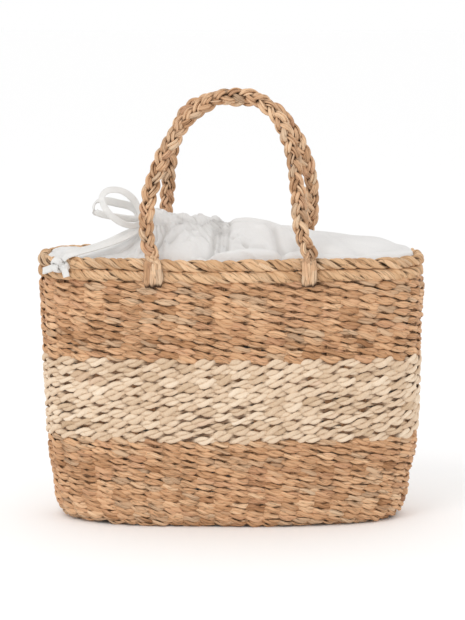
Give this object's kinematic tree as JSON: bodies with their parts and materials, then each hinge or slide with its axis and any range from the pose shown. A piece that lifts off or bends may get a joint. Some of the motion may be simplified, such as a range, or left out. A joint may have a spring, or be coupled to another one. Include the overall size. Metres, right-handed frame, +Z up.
{
  "type": "woven market basket",
  "caption": "Woven seagrass tote basket with a pale jute band, rope border, two plaited handles that swing at the rim, and a cotton liner drawn shut by a tied tape",
  "frame": {"origin": "Centre of the footprint, on the surface the basket stands on, without the free drawstring", "axes": "+Z up, X along the length with the bow towards -X, the front faces -Y"},
  "size_m": [0.4302, 0.1946, 0.4865],
  "materials": {
    "seagrass": "dry twisted seagrass, matt with a faint sheen",
    "stake_grass": "dry brown grass stakes, matt",
    "jute": "natural two-ply jute yarn, matt and slightly hairy",
    "cotton": "plain-woven natural white cotton, matt and crumpled",
    "cotton_tape": "soft flat white cotton tape, matt"
  },
  "bodies": {
    "basket": {"base_weave": "seagrass", "base_stakes": "stake_grass", "lower_band": "seagrass", "pale_band": "jute", "upper_band": "seagrass", "wall_stakes": "stake_grass", "border_rope_lower": "seagrass", "border_rope_upper": "seagrass", "handle_foot_front_left": "seagrass", "handle_foot_front_right": "seagrass", "handle_foot_back_left": "seagrass", "handle_foot_back_right": "seagrass", "liner_bag": "cotton", "liner_stitches": "cotton", "liner_collar": "cotton", "drawstring_casing": "cotton", "bow_knot": "cotton_tape", "bow_loop_upper": "cotton_tape", "bow_loop_lower": "cotton_tape", "drawstring_tail_front": "cotton_tape", "drawstring_tail_back": "cotton_tape", "drawstring_end_knot": "cotton_tape"},
    "front_handle": {"front_handle_strand_1": "seagrass", "front_handle_strand_2": "seagrass", "front_handle_strand_3": "seagrass"},
    "back_handle": {"back_handle_strand_1": "seagrass", "back_handle_strand_2": "seagrass", "back_handle_strand_3": "seagrass"}
  },
  "joints": [
    {"name": "front_handle_swing", "type": "hinge", "parent": "basket", "child": "front_handle", "pos_m": [0, -0.0933, 0.3105], "axis": [1, 0, 0], "range_deg": [-20, 120]},
    {"name": "back_handle_swing", "type": "hinge", "parent": "basket", "child": "back_handle", "pos_m": [0, 0.0933, 0.3105], "axis": [-1, 0, 0], "range_deg": [-20, 120]}
  ]
}
